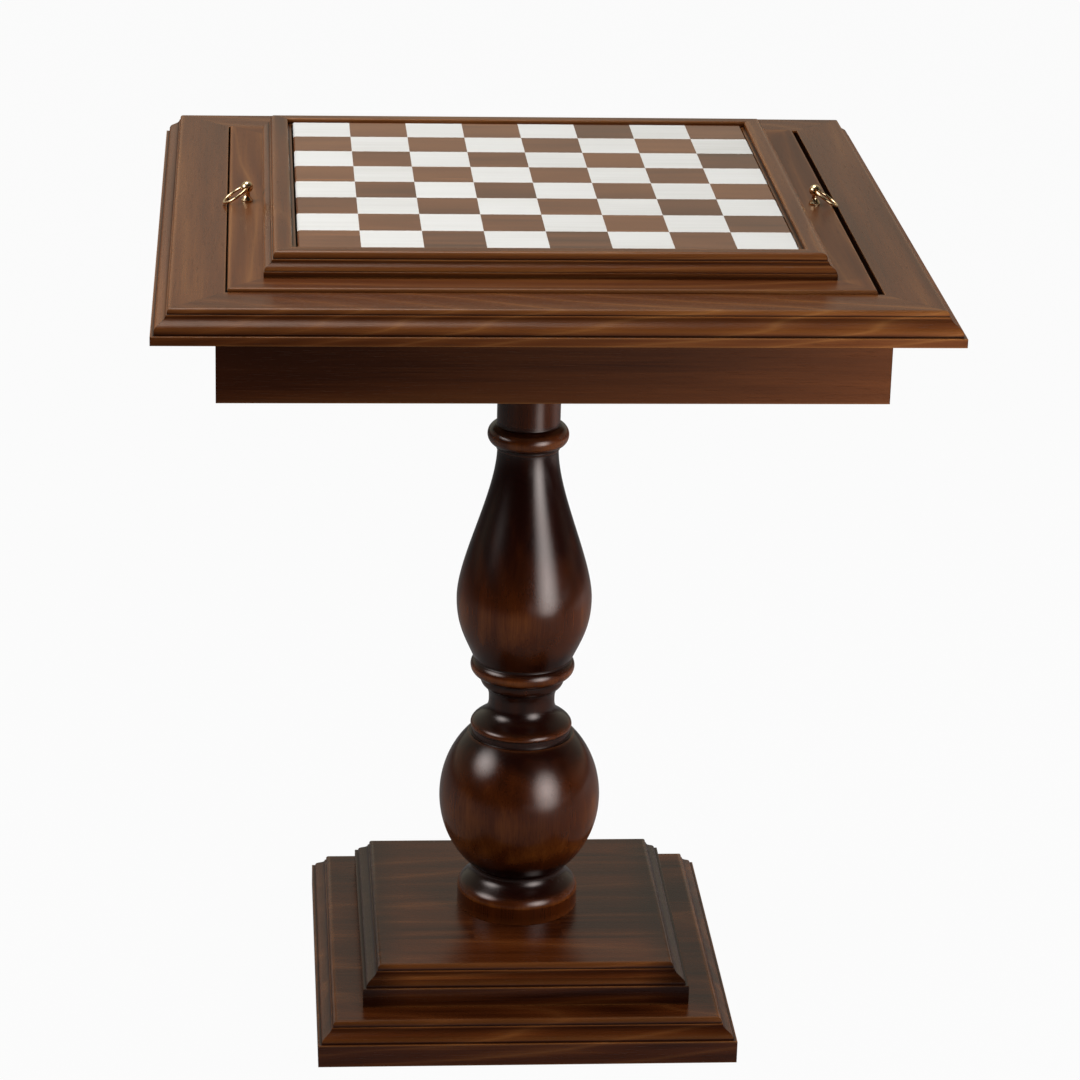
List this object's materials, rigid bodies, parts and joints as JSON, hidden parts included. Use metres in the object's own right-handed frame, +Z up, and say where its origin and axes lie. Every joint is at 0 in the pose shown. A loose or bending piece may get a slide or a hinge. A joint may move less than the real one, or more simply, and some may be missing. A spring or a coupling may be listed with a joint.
{
  "type": "chess table",
  "caption": "Square pedestal chess table in wood: a moulded top with a lift-out panel that carries an inlaid board and brass ring pulls, a well under it, a turned column and a plinth.",
  "frame": {"origin": "middle of the underside of the plinth, on the floor", "axes": "+Z up, +X to the right and -Y to the front, where the sitter of the pictured side is"},
  "size_m": [0.65, 0.65, 0.7638],
  "materials": {
    "top_wood": "satin lacquer over walnut stain",
    "panel_wood": "satin lacquer over walnut stain",
    "column_wood": "glossy lacquer over dark walnut stain",
    "plinth_wood": "satin lacquer over walnut stain",
    "inner_wood": "plain, unseen",
    "dark_square": "gloss lacquer over brown veneer",
    "light_square": "gloss lacquer over white-stained veneer",
    "brass": "polished",
    "steel": "zinc plated"
  },
  "bodies": {
    "table": {"plinth_lower": "plinth_wood", "plinth_upper": "plinth_wood", "plinth_screws": "steel", "column": "column_wood", "tie_rod": "steel", "tie_rod_nuts": "steel", "tie_rod_washers": "steel", "well_floor": "inner_wood", "mounting_block": "inner_wood", "block_screws": "steel", "apron_front": "top_wood", "apron_right": "top_wood", "apron_back": "top_wood", "apron_left": "top_wood", "apron_dowels": "inner_wood", "top_rail_front": "top_wood", "top_rail_right": "top_wood", "top_rail_back": "top_wood", "top_rail_left": "top_wood", "top_mitre_splines": "inner_wood"},
    "panel": {"panel_rail_front": "panel_wood", "panel_rail_right": "panel_wood", "panel_rail_back": "panel_wood", "panel_rail_left": "panel_wood", "panel_core": "inner_wood", "board_screws": "steel", "board_moulding_front": "panel_wood", "board_moulding_right": "panel_wood", "board_moulding_back": "panel_wood", "board_moulding_left": "panel_wood", "board_core": "inner_wood", "dark_squares": "dark_square", "light_squares": "light_square", "ring_post_left": "brass", "ring_post_right": "brass"},
    "ring_left": {"ring_left": "brass"},
    "ring_right": {"ring_right": "brass"}
  },
  "joints": [
    {"name": "panel_lift", "type": "slide", "parent": "table", "child": "panel", "axis": [0, 0, 1], "range_m": [0, 0.12]},
    {"name": "ring_left_swing", "type": "hinge", "parent": "panel", "child": "ring_left", "pos_m": [-0.2489, -0.0025, 0.75607], "axis": [0, 1, 0], "range_deg": [0, 193]},
    {"name": "ring_right_swing", "type": "hinge", "parent": "panel", "child": "ring_right", "pos_m": [0.2451, -0.0025, 0.75607], "axis": [0, -1, 0], "range_deg": [0, 193]}
  ]
}
